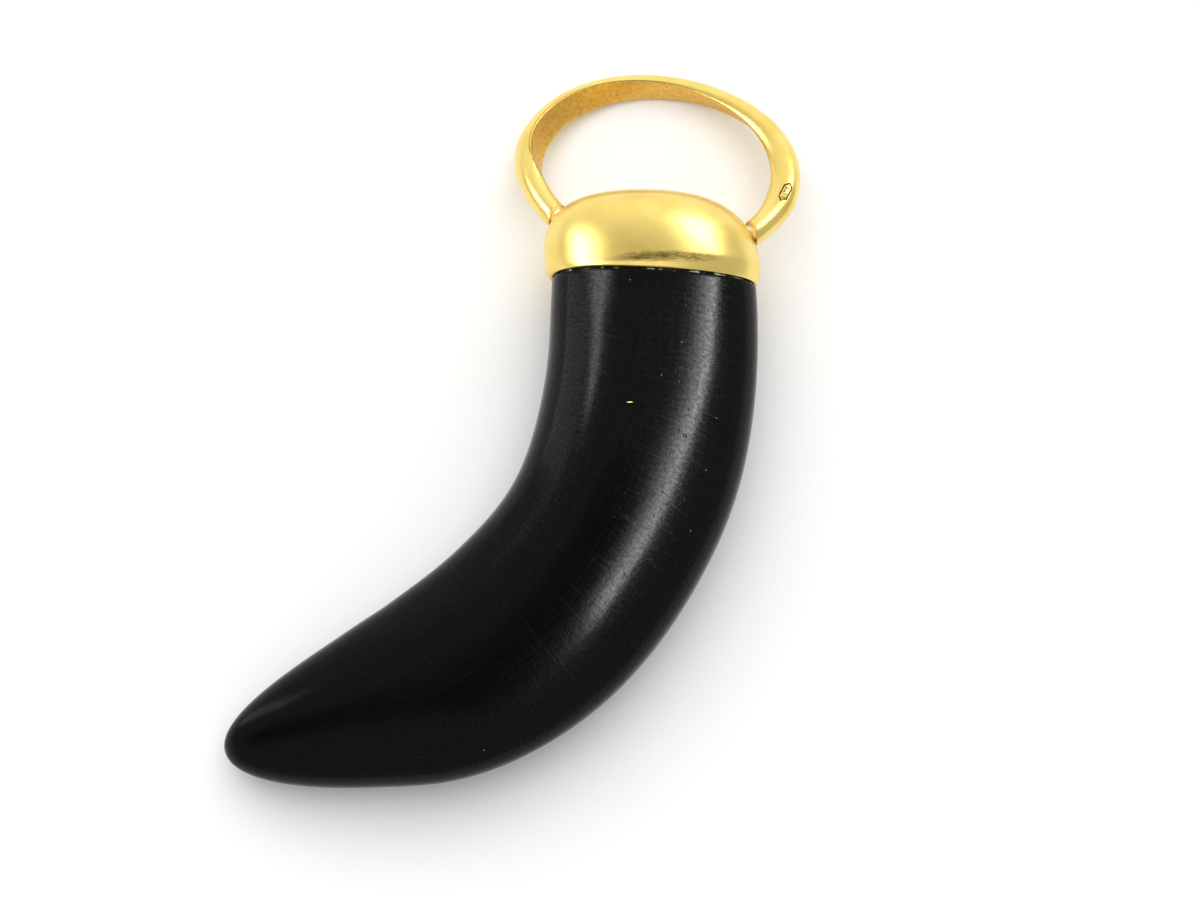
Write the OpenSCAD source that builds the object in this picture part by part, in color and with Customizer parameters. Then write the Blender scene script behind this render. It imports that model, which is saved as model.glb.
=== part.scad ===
// Horn pendant: a black horn in a hollow gold cap, with a large gold bail that rocks on two pins.
// It is laid down on a table. X runs to the right across the cap, Y along the horn towards the
// bail and Z up from the table. Sizes are in millimetres.

/* [Horn] */
// Length of the horn along its middle, from the cap's mouth to the tip
horn_length = 79.6; // [74:0.2:84]
// Length of the horn's reduced seat inside the cap
horn_seat = 4; // [2:0.5:4.5]
// Gap between the seat and the cap's wall, and between the horn's shoulder and the cap's lip
seat_gap = 0.1; // [0.05:0.05:0.2]
// How square the horn's section is, where 2 is an ellipse
horn_squareness = 2.3; // [2:0.1:3]
// How much fuller the section is on the inner side of the bend
horn_fullness = 0.12; // [0:0.02:0.2]
// How far the tip is set back from the horn's middle plane
horn_setback = 2; // [1.5:0.1:2.5]
// Sides of the horn's section
horn_sides = 44; // [24:4:60]
// Sections along the horn
horn_sections = 46; // [24:1:70]

/* [Cap] */
// Width of the cap at its widest
cap_w = 24.3; // [24:0.1:25]
// Thickness of the cap at its widest
cap_t = 15.8; // [15.6:0.1:17]
// Height of the cap
cap_h = 10.4; // [10.2:0.1:11]
// Height of the cap's widest line above its mouth
cap_belly = 1.6; // [1:0.1:2]
// How far each side of the cap tucks in at its mouth
cap_tuck = 0.55; // [0.1:0.05:0.6]
// How square the dome is, where 2 is a ball
dome_squareness = 2.65; // [2.4:0.05:2.8]
// How far the top of the dome leans towards the outer side of the bend
cap_lean = 1.25; // [1:0.05:1.5]
// Tilt of the cap's mouth in degrees, its outer side towards the bail
mouth_tilt = 2.6; // [0:0.1:3]
// Wall of the cap
cap_wall = 0.7; // [0.5:0.1:0.8]
// Distance of the cap's middle from the horn's, towards the outer side of the bend
cap_shift = -0.1; // [-0.3:0.05:0]

/* [Bail] */
// Width of the oval that the middle of the bail's wire follows
bail_w = 29.2; // [28.5:0.1:31]
// Height of that oval
bail_h = 23.7; // [22:0.1:26]
// Height of the oval's centre above the pins
bail_rise = 7.3; // [7:0.1:7.5]
// Turn of the oval in its own plane, its outer side lower
bail_turn = 7; // [5:0.2:8]
// Diameter of the wire at its round ends
wire_end_d = 2.9; // [2.4:0.1:3.2]
// Thickness of the wire at the sides of the oval
wire_side_t = 2.8; // [2:0.1:3]
// Thickness of the wire at the top of the oval
wire_top_t = 1.9; // [1.4:0.1:2.4]
// Width of the wire at the sides of the oval
wire_side_w = 3.4; // [2.8:0.1:4]
// Width of the wire at the top of the oval
wire_top_w = 3; // [2.4:0.1:3.6]
// Twist of the wire at the sides, its flat inner face turned to the front on the left
wire_twist = 40; // [0:1:45]
// Turn of the wire's flat inner face at the top
wire_top_turn = 3; // [-5:1:10]

/* [Hinge] */
// Height of the pins' middle above the cap's mouth
pin_height = 7.1; // [6.8:0.1:7.3]
// Distance of the pins' middle from the horn's, towards the outer side of the bend
pin_shift = -0.4; // [-0.6:0.1:-0.2]
// Tilt of the pins' line, its outer end lower
pin_tilt = 5.9; // [4.5:0.1:6]
// Diameter of each pin
pin_d = 1.4; // [1:0.1:1.6]
// Running clearance round each pin
pin_clearance = 0.04; // [0.02:0.01:0.1]

/* [Lie] */
// Droop of the bail, which lets its top lie on the table
bail_droop = 20.3; // [18:0.1:20.3]
// Roll of the horn and cap as they come to rest, the outer side of the bend up
lie_roll = 2.7; // [2:0.1:3.5]
// Pitch of the horn and cap as they come to rest, the cap up
lie_pitch = 0.2; // [-0.5:0.1:1]
// Height of the middle of the cap's mouth above the table
lie_height = 8.13; // [8:0.01:9]
// Place of the middle of the cap's mouth, across and along, from the middle of the whole pendant
lie_place = [15.48, 14.84]; // [10:0.01:20]

/* [Hidden] */

// The bend of the horn, from the cap's mouth to the tip. Columns: length, turn in degrees
HORN_BEND = [
    [6, 1],
    [12, 11.6],
    [40, 59],
    [23, 4.6]
];

// The horn's form, from the tip. Columns: distance from the tip, width, thickness
HORN_FORM = [
    [0, 0, 0],
    [1.5, 5.4, 4.4],
    [4, 8.8, 6.5],
    [8, 12.4, 8.4],
    [14, 16.3, 9.8],
    [25, 21.7, 11.5],
    [37, 23.6, 13],
    [50, 23.4, 14.6],
    [60, 23.8, 15.1],
    [72, 23.5, 14.8],
    [90, 22.9, 14.2]
];
DISTANCE = 0;
WIDTH = 1;
THICKNESS = 2;

// How closely the horn's sections crowd together at the tip, and how blunt its last face is
TIP_CROWDING = 1.7;
TIP_FACE = 0.12;

// Facets of the cap: sides, rings in the tuck at the mouth, rings in the dome, and the last ring
CAP_SIDES = 48;
TUCK_RINGS = 3;
DOME_RINGS = 14;
DOME_END = 89;

// Facets of the bail, the stretch at each end where round wire turns into flat, and the share of
// the wire's half thickness at which its inner face is cut flat
WIRE_SIDES = 18;
WIRE_SECTIONS = 60;
WIRE_CHANGE = 30;
WIRE_FLAT = 0.3;

// Length of each pin beyond the wire, and of its root inside the wire
PIN_REACH = 3;
PIN_ROOT = 0.8;
PIN_FACETS = 48;

// One column of a table at a value of its first column, on a smooth curve through the rows
function row_slope(table, i, column) =
    let(
        low = max(i - 1, 0),
        high = min(i + 1, len(table) - 1)
    )
    (table[high][column] - table[low][column]) / (table[high][0] - table[low][0]);
function smooth(table, x, column) =
    let(
        rows_before = len([for (row = table) if (row[0] <= x) row]),
        i = min(max(rows_before - 1, 0), len(table) - 2),
        span = table[i + 1][0] - table[i][0],
        u = (x - table[i][0]) / span
    )
    table[i][column] * (1 + 2 * u) * pow(1 - u, 2)
    + table[i + 1][column] * (3 - 2 * u) * pow(u, 2)
    + row_slope(table, i, column) * span * u * pow(1 - u, 2)
    - row_slope(table, i + 1, column) * span * (1 - u) * pow(u, 2);
function ease(u) = let(v = min(max(u, 0), 1)) v * v * (3 - 2 * v);

// A squared ellipse of half width 1 and half thickness 1, fuller on its left
function squared(x, squareness) = sign(x) * pow(abs(x), 2 / squareness);
function section_point(angle) =
    let(across = squared(cos(angle), horn_squareness))
    [across, squared(sin(angle), horn_squareness) * (1 - horn_fullness * across)];
function section(sides) = [for (i = [0:sides - 1]) section_point(360 * i / sides)];

// A closed skin over rings that all have the same number of points
module skin(rings) {
    sides = len(rings[0]);
    last = (len(rings) - 1) * sides;
    polyhedron(
        points = [for (ring = rings) each ring],
        faces = concat(
            [[for (i = [0:sides - 1]) i]],
            [for (r = [0:len(rings) - 2], i = [0:sides - 1])
                let(a = r * sides + i, b = r * sides + (i + 1) % sides)
                [a, a + sides, b + sides, b]],
            [[for (i = [sides - 1:-1:0]) last + i]]
        ),
        convexity = 4
    );
}

// The horn's form is looked up by the root of the distance from the tip, which opens a round tip
FORM_BY_ROOT = [for (row = HORN_FORM) [sqrt(row[DISTANCE]), row[WIDTH], row[THICKNESS]]];
function horn_size(along, column) = smooth(FORM_BY_ROOT, sqrt(max(horn_length - along, 0)), column);

// Heading of the horn's middle line, in degrees from straight down, at a distance from the mouth
function heading(along, i = 0) =
    i >= len(HORN_BEND) || along <= 0
    ? 0
    : HORN_BEND[i][1] * min(along / HORN_BEND[i][0], 1) + heading(along - HORN_BEND[i][0], i + 1);

// The middle line itself, arcs one after another
function arc_move(span, from, turn) =
    let(radius = span / (turn * PI / 180))
    radius * [cos(from + turn) - cos(from), sin(from) - sin(from + turn)];
function middle(along, from = 0, i = 0) =
    i >= len(HORN_BEND) || along <= 0
    ? [0, 0]
    : let(
        span = min(along, HORN_BEND[i][0]),
        turn = HORN_BEND[i][1] * span / HORN_BEND[i][0]
    )
    arc_move(span, from, turn) + middle(along - HORN_BEND[i][0], from + turn, i + 1);

// How far the cap's tilted mouth, and the horn's shoulder at it, lie below its middle
function mouth_drop(x) = x * tan(mouth_tilt);
function horn_ring(along, tilted = false) =
    let(
        centre = middle(along),
        turn = heading(along),
        half_w = horn_size(along, WIDTH) / 2,
        half_t = horn_size(along, THICKNESS) / 2,
        back = horn_setback * pow(along / horn_length, 2)
    )
    [for (p = section(horn_sides))
        let(x = half_w * p.x, drop = tilted ? mouth_drop(x) : x * sin(turn))
        [centre.x + x * cos(turn), centre.y - drop, half_t * p.y - back]];
function horn_station(i) =
    let(from_tip = (horn_length - seat_gap) * pow(1 - i / horn_sections, TIP_CROWDING))
    horn_length - max(from_tip, TIP_FACE);

// The horn's seat keeps the gap to the inside of the cap's mouth
SEAT_INSET = cap_tuck + cap_wall + seat_gap;
function seat_ring(height) =
    [for (p = section(horn_sides))
        let(x = cap_shift + (cap_w / 2 - SEAT_INSET) * p.x)
        [x, height - mouth_drop(x), (cap_t / 2 - SEAT_INSET) * p.y]];

// The cap is the same section, tucked in at the mouth and closed by a squared dome
function cap_ring(height, half_w, half_t) =
    let(
        lean = cap_lean * max(height - cap_belly, 0) / (cap_h - cap_belly),
        tilt_share = min(max(1 - height / cap_belly, 0), 1)
    )
    [for (p = section(CAP_SIDES))
        let(x = cap_shift - lean + half_w * p.x)
        [x, height - mouth_drop(x) * tilt_share, -half_t * p.y]];
function tuck_ring(i, half_w, half_t, start = 0) =
    let(
        height = start + (cap_belly - start) * i / TUCK_RINGS,
        tuck = cap_tuck * pow(1 - max(height, 0) / cap_belly, 2)
    )
    cap_ring(height, half_w - tuck, half_t - tuck);
function dome_ring(i, half_w, half_t, reach) =
    let(
        angle = DOME_END * i / DOME_RINGS,
        share = squared(cos(angle), dome_squareness)
    )
    cap_ring(cap_belly + reach * squared(sin(angle), dome_squareness), half_w * share, half_t * share);
module cap_form(inset, start = 0) {
    half_w = cap_w / 2 - inset;
    half_t = cap_t / 2 - inset;
    reach = cap_h - cap_belly - inset;
    skin(concat(
        [for (i = [0:TUCK_RINGS - 1]) tuck_ring(i, half_w, half_t, start)],
        [for (i = [0:DOME_RINGS]) dome_ring(i, half_w, half_t, reach)]
    ));
}

// The bail in its own plane, with the pins on the X axis. The oval crosses that axis at its ends
OVAL_ACROSS = bail_w / 2 * sin(bail_turn);
OVAL_UP = bail_h / 2 * cos(bail_turn);
OVAL_LEAN = -atan2(OVAL_ACROSS, OVAL_UP);
OVAL_REACH = acos(-bail_rise / norm([OVAL_ACROSS, OVAL_UP]));
function turned(p) =
    [p.x * cos(bail_turn) + p.y * sin(bail_turn), p.y * cos(bail_turn) - p.x * sin(bail_turn)];
function oval_point(angle) = turned([bail_w / 2 * sin(angle), bail_h / 2 * cos(angle)]) + [0, bail_rise];
function oval_outward(angle) =
    let(out = turned([bail_h * sin(angle), bail_w * cos(angle)]))
    out / norm(out);

// The wire's section: round at the ends, flat inside elsewhere, and twisted
function wire_point(angle, flat, t, w) = [max(cos(angle), -flat) * t / (1 + flat), sin(angle) * w / 2];
function wire_ring(angle) =
    let(
        centre = oval_point(angle),
        out = oval_outward(angle),
        flatness = ease((OVAL_REACH - abs(angle - OVAL_LEAN)) / WIRE_CHANGE),
        side = pow(sin(angle), 2),
        flat_t = wire_side_t * side + wire_top_t * (1 - side),
        flat_w = wire_side_w * side + wire_top_w * (1 - side),
        t = wire_end_d + (flat_t - wire_end_d) * flatness,
        w = wire_end_d + (flat_w - wire_end_d) * flatness,
        flat = 1 + (WIRE_FLAT - 1) * flatness,
        twist = (wire_top_turn + wire_twist * sin(angle)) * flatness
    )
    [for (i = [0:WIRE_SIDES - 1])
        let(
            p = wire_point(360 * i / WIRE_SIDES, flat, t, w),
            r = p.x * cos(twist) - p.y * sin(twist)
        )
        [centre.x + out.x * r, centre.y + out.y * r, p.x * sin(twist) + p.y * cos(twist)]];

// The wire is cut square at both ends, with the pins in the middle of the cuts
END_ANGLES = [OVAL_LEAN - OVAL_REACH, OVAL_LEAN + OVAL_REACH];
module wire() {
    skin([for (i = [0:WIRE_SECTIONS]) wire_ring(OVAL_LEAN + OVAL_REACH * (2 * i / WIRE_SECTIONS - 1))]);
}

// A pin or its bore, from inside the wire's end towards the cap's middle
module pin(end, d) {
    inward = end.x < 0 ? 1 : -1;
    translate([end.x - inward * PIN_ROOT, 0, 0])
        rotate([0, inward * 90, 0])
            cylinder(d = d, h = PIN_ROOT + PIN_REACH, $fn = PIN_FACETS);
}
module pins(d) {
    for (angle = END_ANGLES) pin(oval_point(angle), d);
}

// Places of things: on the pins' line, and the whole pendant laid on the table
module on_pins() {
    translate([pin_shift, pin_height, 0]) rotate([0, 0, -pin_tilt]) children();
}
module laid() {
    translate([lie_place.x, lie_place.y, lie_height]) rotate([lie_pitch, -lie_roll, 0]) children();
}

module horn() {
    color("#1b1a19") laid() skin(concat(
        [seat_ring(horn_seat), seat_ring(-seat_gap), horn_ring(seat_gap, tilted = true)],
        [for (i = [1:horn_sections]) horn_ring(horn_station(i))]
    ));
}

module cap() {
    color("#e3bb52") laid() difference() {
        cap_form(0);
        cap_form(cap_wall, -cap_wall);
        on_pins() pins(pin_d + 2 * pin_clearance);
    }
}

module bail() {
    color("#e8c25c") laid() on_pins() rotate([-bail_droop, 0, 0]) {
        wire();
        pins(pin_d);
    }
}

horn();
cap();
bail();
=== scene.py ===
"""A black horn pendant with a satin gold cap and a large gold bail, lying on a pale table.

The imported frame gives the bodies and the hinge. The three nodes horn, cap and bail are replaced by
finer skins of the same forms, with the details that only the surface shows: the rounded lip of the
cap, the bead of cement under it, the worn stamp on the bail, pores, pits and scratches.
"""

import logging
import math
from dataclasses import dataclass, field
from enum import Enum
from typing import Iterable, Mapping, Sequence

import bmesh
import bpy
from mathutils import Matrix, Vector


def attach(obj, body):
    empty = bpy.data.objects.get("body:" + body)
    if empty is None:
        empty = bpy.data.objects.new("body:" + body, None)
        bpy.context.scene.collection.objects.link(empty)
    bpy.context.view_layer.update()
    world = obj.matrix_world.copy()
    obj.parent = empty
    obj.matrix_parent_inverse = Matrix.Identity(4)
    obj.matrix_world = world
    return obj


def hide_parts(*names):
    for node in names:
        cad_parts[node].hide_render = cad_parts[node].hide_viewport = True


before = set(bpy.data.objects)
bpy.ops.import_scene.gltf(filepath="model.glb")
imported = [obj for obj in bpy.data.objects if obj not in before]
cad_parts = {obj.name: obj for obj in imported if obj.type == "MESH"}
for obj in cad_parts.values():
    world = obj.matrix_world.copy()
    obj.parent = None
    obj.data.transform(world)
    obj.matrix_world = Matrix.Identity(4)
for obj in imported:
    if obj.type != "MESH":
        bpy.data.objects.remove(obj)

LOG = logging.getLogger("pendant")
MM = 0.001
HORN_PIECES = ("horn_skin",)
GOLD_PIECES = ("cap_shell", "bail_wire")
Pair = tuple[float, float]
Triple = tuple[float, float, float]
Colour = tuple[float, float, float, float]
Ring = list[Vector]
Piece = bpy.types.Object
Socket = bpy.types.NodeSocket
Term = float | str | Sequence[float] | Socket


class Body(Enum):
    """The two hard bodies of the pendant."""

    PENDANT = "pendant"
    BAIL = "bail"


class Slot(Enum):
    """The record's material slots."""

    HORN = "black_horn"
    CAP = "cap_gold"
    BAIL = "bail_gold"


class End(Enum):
    """How an end of a lofted skin is closed."""

    FLAT = "flat"
    POLE = "pole"


# Forms


def squared(value: float, squareness: float) -> float:
    """Give the sine or cosine of a squared circle, where squareness 2 is a true one."""
    return math.copysign(abs(value) ** (2 / squareness), value)


def ease(share: float) -> float:
    """Turn a share from 0 to 1 smoothly from one end to the other."""
    share = min(max(share, 0.0), 1.0)
    return share * share * (3 - 2 * share)


def blend(low: float, high: float, share: float) -> float:
    """Mix two numbers."""
    return low + (high - low) * share


@dataclass(frozen=True)
class Profile:
    """Rows of a smooth curve, each with its place first and its values after it."""

    rows: Sequence[Sequence[float]]

    def slope(self, row: int, column: int) -> float:
        """Work out the slope of a column at a row from the row's neighbours.

        Args:
            row: Which row.
            column: Which value of the rows, from 1.

        Returns:
            The slope.
        """
        low, high = max(row - 1, 0), min(row + 1, len(self.rows) - 1)
        rise = self.rows[high][column] - self.rows[low][column]
        return rise / (self.rows[high][0] - self.rows[low][0])

    def at(self, place: float, column: int) -> float:
        """Read a column at a place.

        Args:
            place: Where on the curve.
            column: Which value of the rows, from 1.

        Returns:
            The value on a smooth curve through the rows.
        """
        before = sum(1 for row in self.rows if row[0] <= place)
        i = min(max(before - 1, 0), len(self.rows) - 2)
        span = self.rows[i + 1][0] - self.rows[i][0]
        u = (place - self.rows[i][0]) / span
        return (
            self.rows[i][column] * (1 + 2 * u) * (1 - u) ** 2
            + self.rows[i + 1][column] * (3 - 2 * u) * u**2
            + self.slope(i, column) * span * u * (1 - u) ** 2
            - self.slope(i + 1, column) * span * (1 - u) * u**2
        )


@dataclass(frozen=True)
class Oval:
    """The squared oval section that the horn and the cap share, fuller on the inner side of the bend."""

    squareness: float = 2.3
    fullness: float = 0.12

    def point(self, turn: float) -> Pair:
        """Find a point of the section, with half width and half thickness 1.

        Args:
            turn: Its angle in radians, from the inner side of the bend.

        Returns:
            Its place across and up.
        """
        across = squared(math.cos(turn), self.squareness)
        up = squared(math.sin(turn), self.squareness)
        return across, up * (1 - self.fullness * across)

    def turn_at(self, across: float) -> float:
        """Angle in radians of the front's point at a place across."""
        return math.acos(math.copysign(abs(across) ** (self.squareness / 2), across))

    def points(self, sides: int) -> list[Pair]:
        """All points of the section, from its underside on."""
        return [self.point(math.tau * i / sides - math.pi / 2) for i in range(sides)]


@dataclass(frozen=True)
class Lying:
    """The pendant as it lies on the table. Sizes in mm and degrees."""

    place: Triple = (15.48, 14.84, 8.13)
    roll: float = 2.7
    pitch: float = 0.2
    pin_place: Triple = (-0.4, 7.1, 0.0)
    pin_tilt: float = 5.9
    droop: float = 20.3

    @property
    def pendant(self) -> Matrix:
        """From the pendant's own frame, at the middle of the cap's mouth, to the table's."""
        roll = Matrix.Rotation(math.radians(-self.roll), 4, "Y")
        return Matrix.Translation(self.place) @ roll @ Matrix.Rotation(math.radians(self.pitch), 4, "X")

    @property
    def pins(self) -> Matrix:
        """From the frame of the hinge's pins to the table's."""
        tilt = Matrix.Rotation(math.radians(-self.pin_tilt), 4, "Z")
        return self.pendant @ Matrix.Translation(self.pin_place) @ tilt

    @property
    def bail(self) -> Matrix:
        """From the bail's own frame, with its pins on the X axis, to the table's."""
        return self.pins @ Matrix.Rotation(math.radians(-self.droop), 4, "X")


LYING = Lying()


def placed(rings: Iterable[Ring], place: Matrix) -> list[Ring]:
    """Bring rings from a piece's own frame in mm to the table's in metres."""
    return [[(place @ point) * MM for point in ring] for ring in rings]


# Meshes


def start_clean() -> None:
    """Leave edit mode and deselect everything."""
    if bpy.context.object and bpy.context.object.mode != "OBJECT":
        bpy.ops.object.mode_set(mode="OBJECT")
    bpy.ops.object.select_all(action="DESELECT")


def make_active(piece: Piece) -> None:
    """Select one piece alone and make it active.

    Args:
        piece: The piece.
    """
    start_clean()
    piece.select_set(True)
    bpy.context.view_layer.objects.active = piece


def apply_modifier(piece: Piece, kind: str, **settings: object) -> None:
    """Add a modifier to a piece, set it and apply it.

    Args:
        piece: The piece.
        kind: Blender's name of the modifier.
        **settings: Its settings.
    """
    make_active(piece)
    modifier = piece.modifiers.new(kind.title(), kind)
    for name, value in settings.items():
        setattr(modifier, name, value)
    bpy.ops.object.modifier_apply(modifier=modifier.name)


@dataclass
class Loft:
    """A closed skin drawn as by hand: a circle, and each further ring extruded from the last one."""

    name: str
    rings: list[Ring]
    start: End = End.FLAT
    finish: End = End.FLAT
    smoothing: int = 1
    sharp_angle: float = 50.0
    values: Mapping[str, list[list[float]]] = field(default_factory=dict)

    def build(self) -> Piece:
        """Draw the skin.

        Returns:
            The finished piece, at the origin, with its place in its mesh.
        """
        start_clean()
        bpy.ops.mesh.primitive_circle_add(vertices=len(self.rings[0]), radius=MM, calc_uvs=False)
        piece = bpy.context.object
        piece.name = piece.data.name = self.name
        bpy.ops.object.mode_set(mode="EDIT")
        bpy.ops.mesh.select_mode(type="VERT")
        for _ in self.rings[1:]:
            bpy.ops.mesh.extrude_region_move(TRANSFORM_OT_translate={"value": (0, 0, MM)})
        rows = self.shape(piece)
        for row, end in ((rows[0], self.start), (rows[-1], self.finish)):
            self.close(piece, row, end)
        bpy.ops.mesh.select_all(action="SELECT")
        bpy.ops.mesh.normals_make_consistent(inside=False)
        bpy.ops.object.mode_set(mode="OBJECT")
        if self.smoothing:
            apply_modifier(piece, "SUBSURF", levels=self.smoothing, render_levels=self.smoothing)
        make_active(piece)
        bpy.ops.object.shade_smooth_by_angle(angle=math.radians(self.sharp_angle))
        return piece

    def shape(self, piece: Piece) -> list[list[int]]:
        """Move every ring to its place, and write the piece's UV map and values.

        Args:
            piece: The piece, in edit mode, with its rings extruded.

        Returns:
            The vertices of each ring by index.
        """
        mesh = bmesh.from_edit_mesh(piece.data)
        layers = {name: mesh.verts.layers.float.new(name) for name in self.values}
        uv = mesh.loops.layers.uv.new("surface")
        mesh.verts.ensure_lookup_table()
        sides = len(self.rings[0])
        row = [mesh.verts[i] for i in range(sides)]
        where: dict[bmesh.types.BMVert, tuple[int, int]] = {}
        rows: list[list[int]] = []
        for r, ring in enumerate(self.rings):
            for s, (vert, place) in enumerate(zip(row, ring)):
                vert.co = place
                where[vert] = (r, s)
                for name, layer in layers.items():
                    vert[layer] = self.values[name][r][s]
            rows.append([vert.index for vert in row])
            if r + 1 < len(self.rings):
                row = [
                    next(e.other_vert(v) for e in v.link_edges if e.other_vert(v) not in where)
                    for v in row
                ]
        last = len(self.rings) - 1
        for face in mesh.faces:
            wraps = {where[v][1] for v in face.verts} == {0, sides - 1}
            for loop in face.loops:
                r, s = where[loop.vert]
                loop[uv].uv = ((sides if wraps and s == 0 else s) / sides, r / last)
        bmesh.update_edit_mesh(piece.data)
        return rows

    def close(self, piece: Piece, row: list[int], end: End) -> None:
        """Close one end of the skin with a flat face or a pole.

        Args:
            piece: The piece, in edit mode.
            row: The vertices of the end's ring by index.
            end: How to close it.
        """
        bpy.ops.mesh.select_all(action="DESELECT")
        mesh = bmesh.from_edit_mesh(piece.data)
        mesh.verts.ensure_lookup_table()
        for i in row:
            mesh.verts[i].select_set(True)
        mesh.select_flush(True)
        bmesh.update_edit_mesh(piece.data)
        bpy.ops.mesh.edge_face_add()
        if end is End.POLE:
            bpy.ops.mesh.poke()


# Finishes


def linear(code: str) -> Colour:
    """Turn an sRGB hex colour into Blender's linear colour.

    Args:
        code: The colour, such as "#d9b24c".

    Returns:
        Its red, green, blue and alpha.
    """
    parts = [int(code[i : i + 2], 16) / 255 for i in (1, 3, 5)]
    turned = [p / 12.92 if p <= 0.04045 else ((p + 0.055) / 1.055) ** 2.4 for p in parts]
    return turned[0], turned[1], turned[2], 1.0


RANGE = ("Value", "From Min", "From Max", "To Min", "To Max")


class Node(Enum):
    """The kinds of node in use: Blender's name, fixed settings, the order of the terms, and the output."""

    OBJECT = ("TexCoord", {}, (), "Object")
    SURFACE = ("TexCoord", {}, (), "UV")
    FACING = ("TexCoord", {}, (), "Generated")
    SPOT = ("NewGeometry", {}, (), "Parametric")
    SEEN = ("LightPath", {}, (), "Is Camera Ray")
    CARRIED = ("Attribute", {"attribute_type": "GEOMETRY"}, ("attribute_name",), "Fac")
    MATH = ("Math", {}, ("operation", 0, 1, 2), 0)
    VECTOR = ("VectorMath", {}, ("operation", 0, 1), "Vector")
    MEASURE = ("VectorMath", {}, ("operation", 0, 1), "Value")
    PARTS = ("SeparateXYZ", {}, ("Vector",), "Y")
    SCALED = ("Mapping", {}, ("Vector", "Scale"), 0)
    TURNED = ("Mapping", {}, ("Vector", "Rotation"), 0)
    OWN = ("Mapping", {"vector_type": "TEXTURE"}, ("Vector", "Location", "Rotation"), 0)
    NOISE = ("TexNoise", {}, ("Vector", "Scale", "Detail", "Roughness"), 0)
    DOTS = ("TexVoronoi", {}, ("Vector", "Scale", "voronoi_dimensions"), "Distance")
    RAMP = ("MapRange", {"interpolation_type": "SMOOTHSTEP"}, RANGE, 0)
    FALL = ("MapRange", {}, RANGE, 0)
    MIX = ("Mix", {"data_type": "RGBA"}, (0, 6, 7), 2)
    BUMP = ("Bump", {"Strength": 1.0}, ("Height", "Distance", "Normal"), 0)
    SHADER = ("BsdfPrincipled", {}, (), 0)
    GLOW = ("Emission", {}, ("Strength",), 0)
    BACKDROP = ("Background", {}, ("Color", "Strength"), 0)
    EITHER = ("MixShader", {}, (0, 1, 2), 0)
    MATERIAL = ("OutputMaterial", {}, ("Surface",), 0)
    LIGHT = ("OutputLight", {}, ("Surface",), 0)
    WORLD = ("OutputWorld", {}, ("Surface",), 0)


class Graph:
    """The node tree of a finish, a light or the room."""

    def __init__(self, owner: bpy.types.ID) -> None:
        """Start the tree.

        Args:
            owner: The material, light or world that it belongs to.
        """
        owner.use_nodes = True
        self.tree = owner.node_tree
        self.tree.nodes.clear()

    def give(self, node: bpy.types.Node, name: str | int, term: Term) -> None:
        """Set a node's setting or input, or link a socket to the input.

        Args:
            node: The node.
            name: The setting's name, or the input's name or number.
            term: The value or the socket.
        """
        if isinstance(term, Socket):
            self.tree.links.new(term, node.inputs[name])
        elif isinstance(name, str) and hasattr(node, name):
            setattr(node, name, term)
        else:
            node.inputs[name].default_value = term

    def add(self, kind: Node, *terms: Term) -> Socket:
        """Add a node with its settings and links.

        Args:
            kind: Its kind.
            *terms: What it is given, in the kind's order: settings, values and sockets.

        Returns:
            Its output, or the input of a node that ends the tree.
        """
        name, settings, order, output = kind.value
        node = self.tree.nodes.new(f"ShaderNode{name}")
        for key, term in (*settings.items(), *zip(order, terms)):
            self.give(node, key, term)
        return (node.outputs or node.inputs)[output]


class Finish(Graph):
    """A material of one real finish, begun with its shader and its coordinates in mm."""

    SOFT_EDGE: Pair = (1.25, 0.6)

    def __init__(self, name: str) -> None:
        """Start the material.

        Args:
            name: The finish in plain words.
        """
        self.material = bpy.data.materials.new(name)
        super().__init__(self.material)
        self.shader = self.add(Node.SHADER).node
        self.add(Node.MATERIAL, self.shader.outputs[0])
        self.place = self.add(Node.SCALED, self.add(Node.OBJECT), (1 / MM, 1 / MM, 1 / MM))
        self.surface = self.add(Node.SURFACE)

    def stretch(self, vector: Socket, scale: Triple, turn: float) -> Socket:
        """Scale a pattern after turning it in its own plane by degrees."""
        turned = self.add(Node.TURNED, vector, (0.0, 0.0, math.radians(turn)))
        return self.add(Node.SCALED, turned, scale)

    def near(self, spot: Vector, radius: float, longer: float = 1.0) -> Socket:
        """Give 1 inside a spot of the surface and 0 outside it, with a soft edge.

        Args:
            spot: The spot's middle in mm.
            radius: Its radius in mm.
            longer: How many times longer it is across the pendant than along it.

        Returns:
            The share's socket.
        """
        off = self.add(Node.VECTOR, "SUBTRACT", self.place, tuple(spot))
        form = self.add(Node.VECTOR, "MULTIPLY", off, (1 / longer, 1.0, 1 / longer))
        away = self.add(Node.MEASURE, "LENGTH", form)
        outer, inner = self.SOFT_EDGE
        return self.add(Node.RAMP, away, radius * outer, radius * inner)

    def cover(self, looks: Mapping[str, Term]) -> bpy.types.Material:
        """Give the shader its inputs.

        Args:
            looks: Values or sockets by the input's name.

        Returns:
            The material.
        """
        for name, term in looks.items():
            self.give(self.shader, name, term)
        return self.material


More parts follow.
